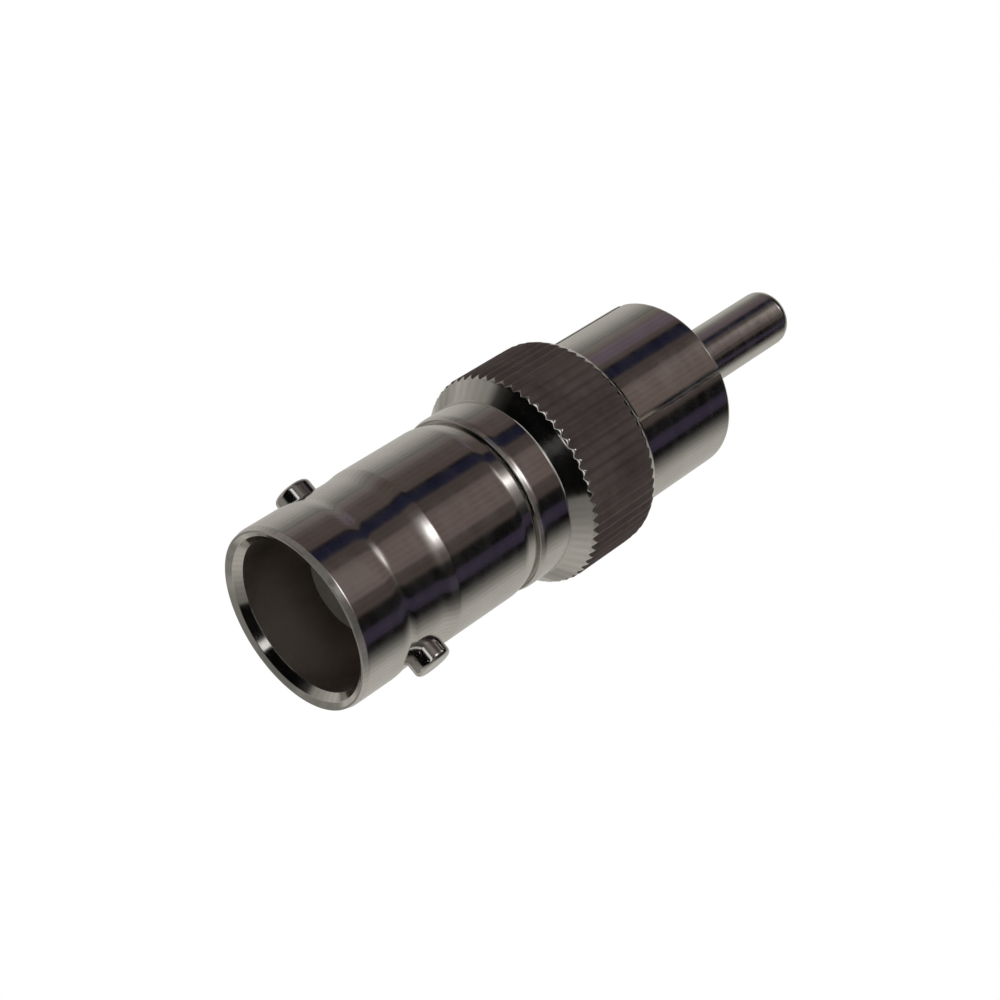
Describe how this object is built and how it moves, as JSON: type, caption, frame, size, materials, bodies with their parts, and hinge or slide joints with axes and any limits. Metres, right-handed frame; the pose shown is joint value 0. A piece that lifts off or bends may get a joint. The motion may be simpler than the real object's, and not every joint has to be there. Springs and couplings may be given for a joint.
{
  "type": "coaxial bayonet to phono adapter",
  "caption": "Straight coaxial adapter with a bayonet socket at one end, a knurled grip and a phono plug at the other end.",
  "frame": {"origin": "centre of the bayonet socket's mouth, in the plane of its rim", "axes": "+Z along the adapter from the socket's mouth to the plug's pin; the two bayonet lugs lie along X"},
  "size_m": [0.0116, 0.0116, 0.0362],
  "materials": {
    "nickel_plate": "bright nickel plating on turned brass",
    "contact_plate": "nickel plating on brass",
    "insulator_plastic": "turned white fluoropolymer, slightly greyed"
  },
  "bodies": {
    "root": {"socket_shell": "nickel_plate", "bayonet_lug_right": "nickel_plate", "bayonet_lug_left": "nickel_plate", "front_insulator": "insulator_plastic", "centre_contact": "contact_plate", "knurled_body": "nickel_plate", "phono_shell": "nickel_plate", "rear_insulator": "insulator_plastic", "phono_pin": "contact_plate"}
  },
  "joints": []
}
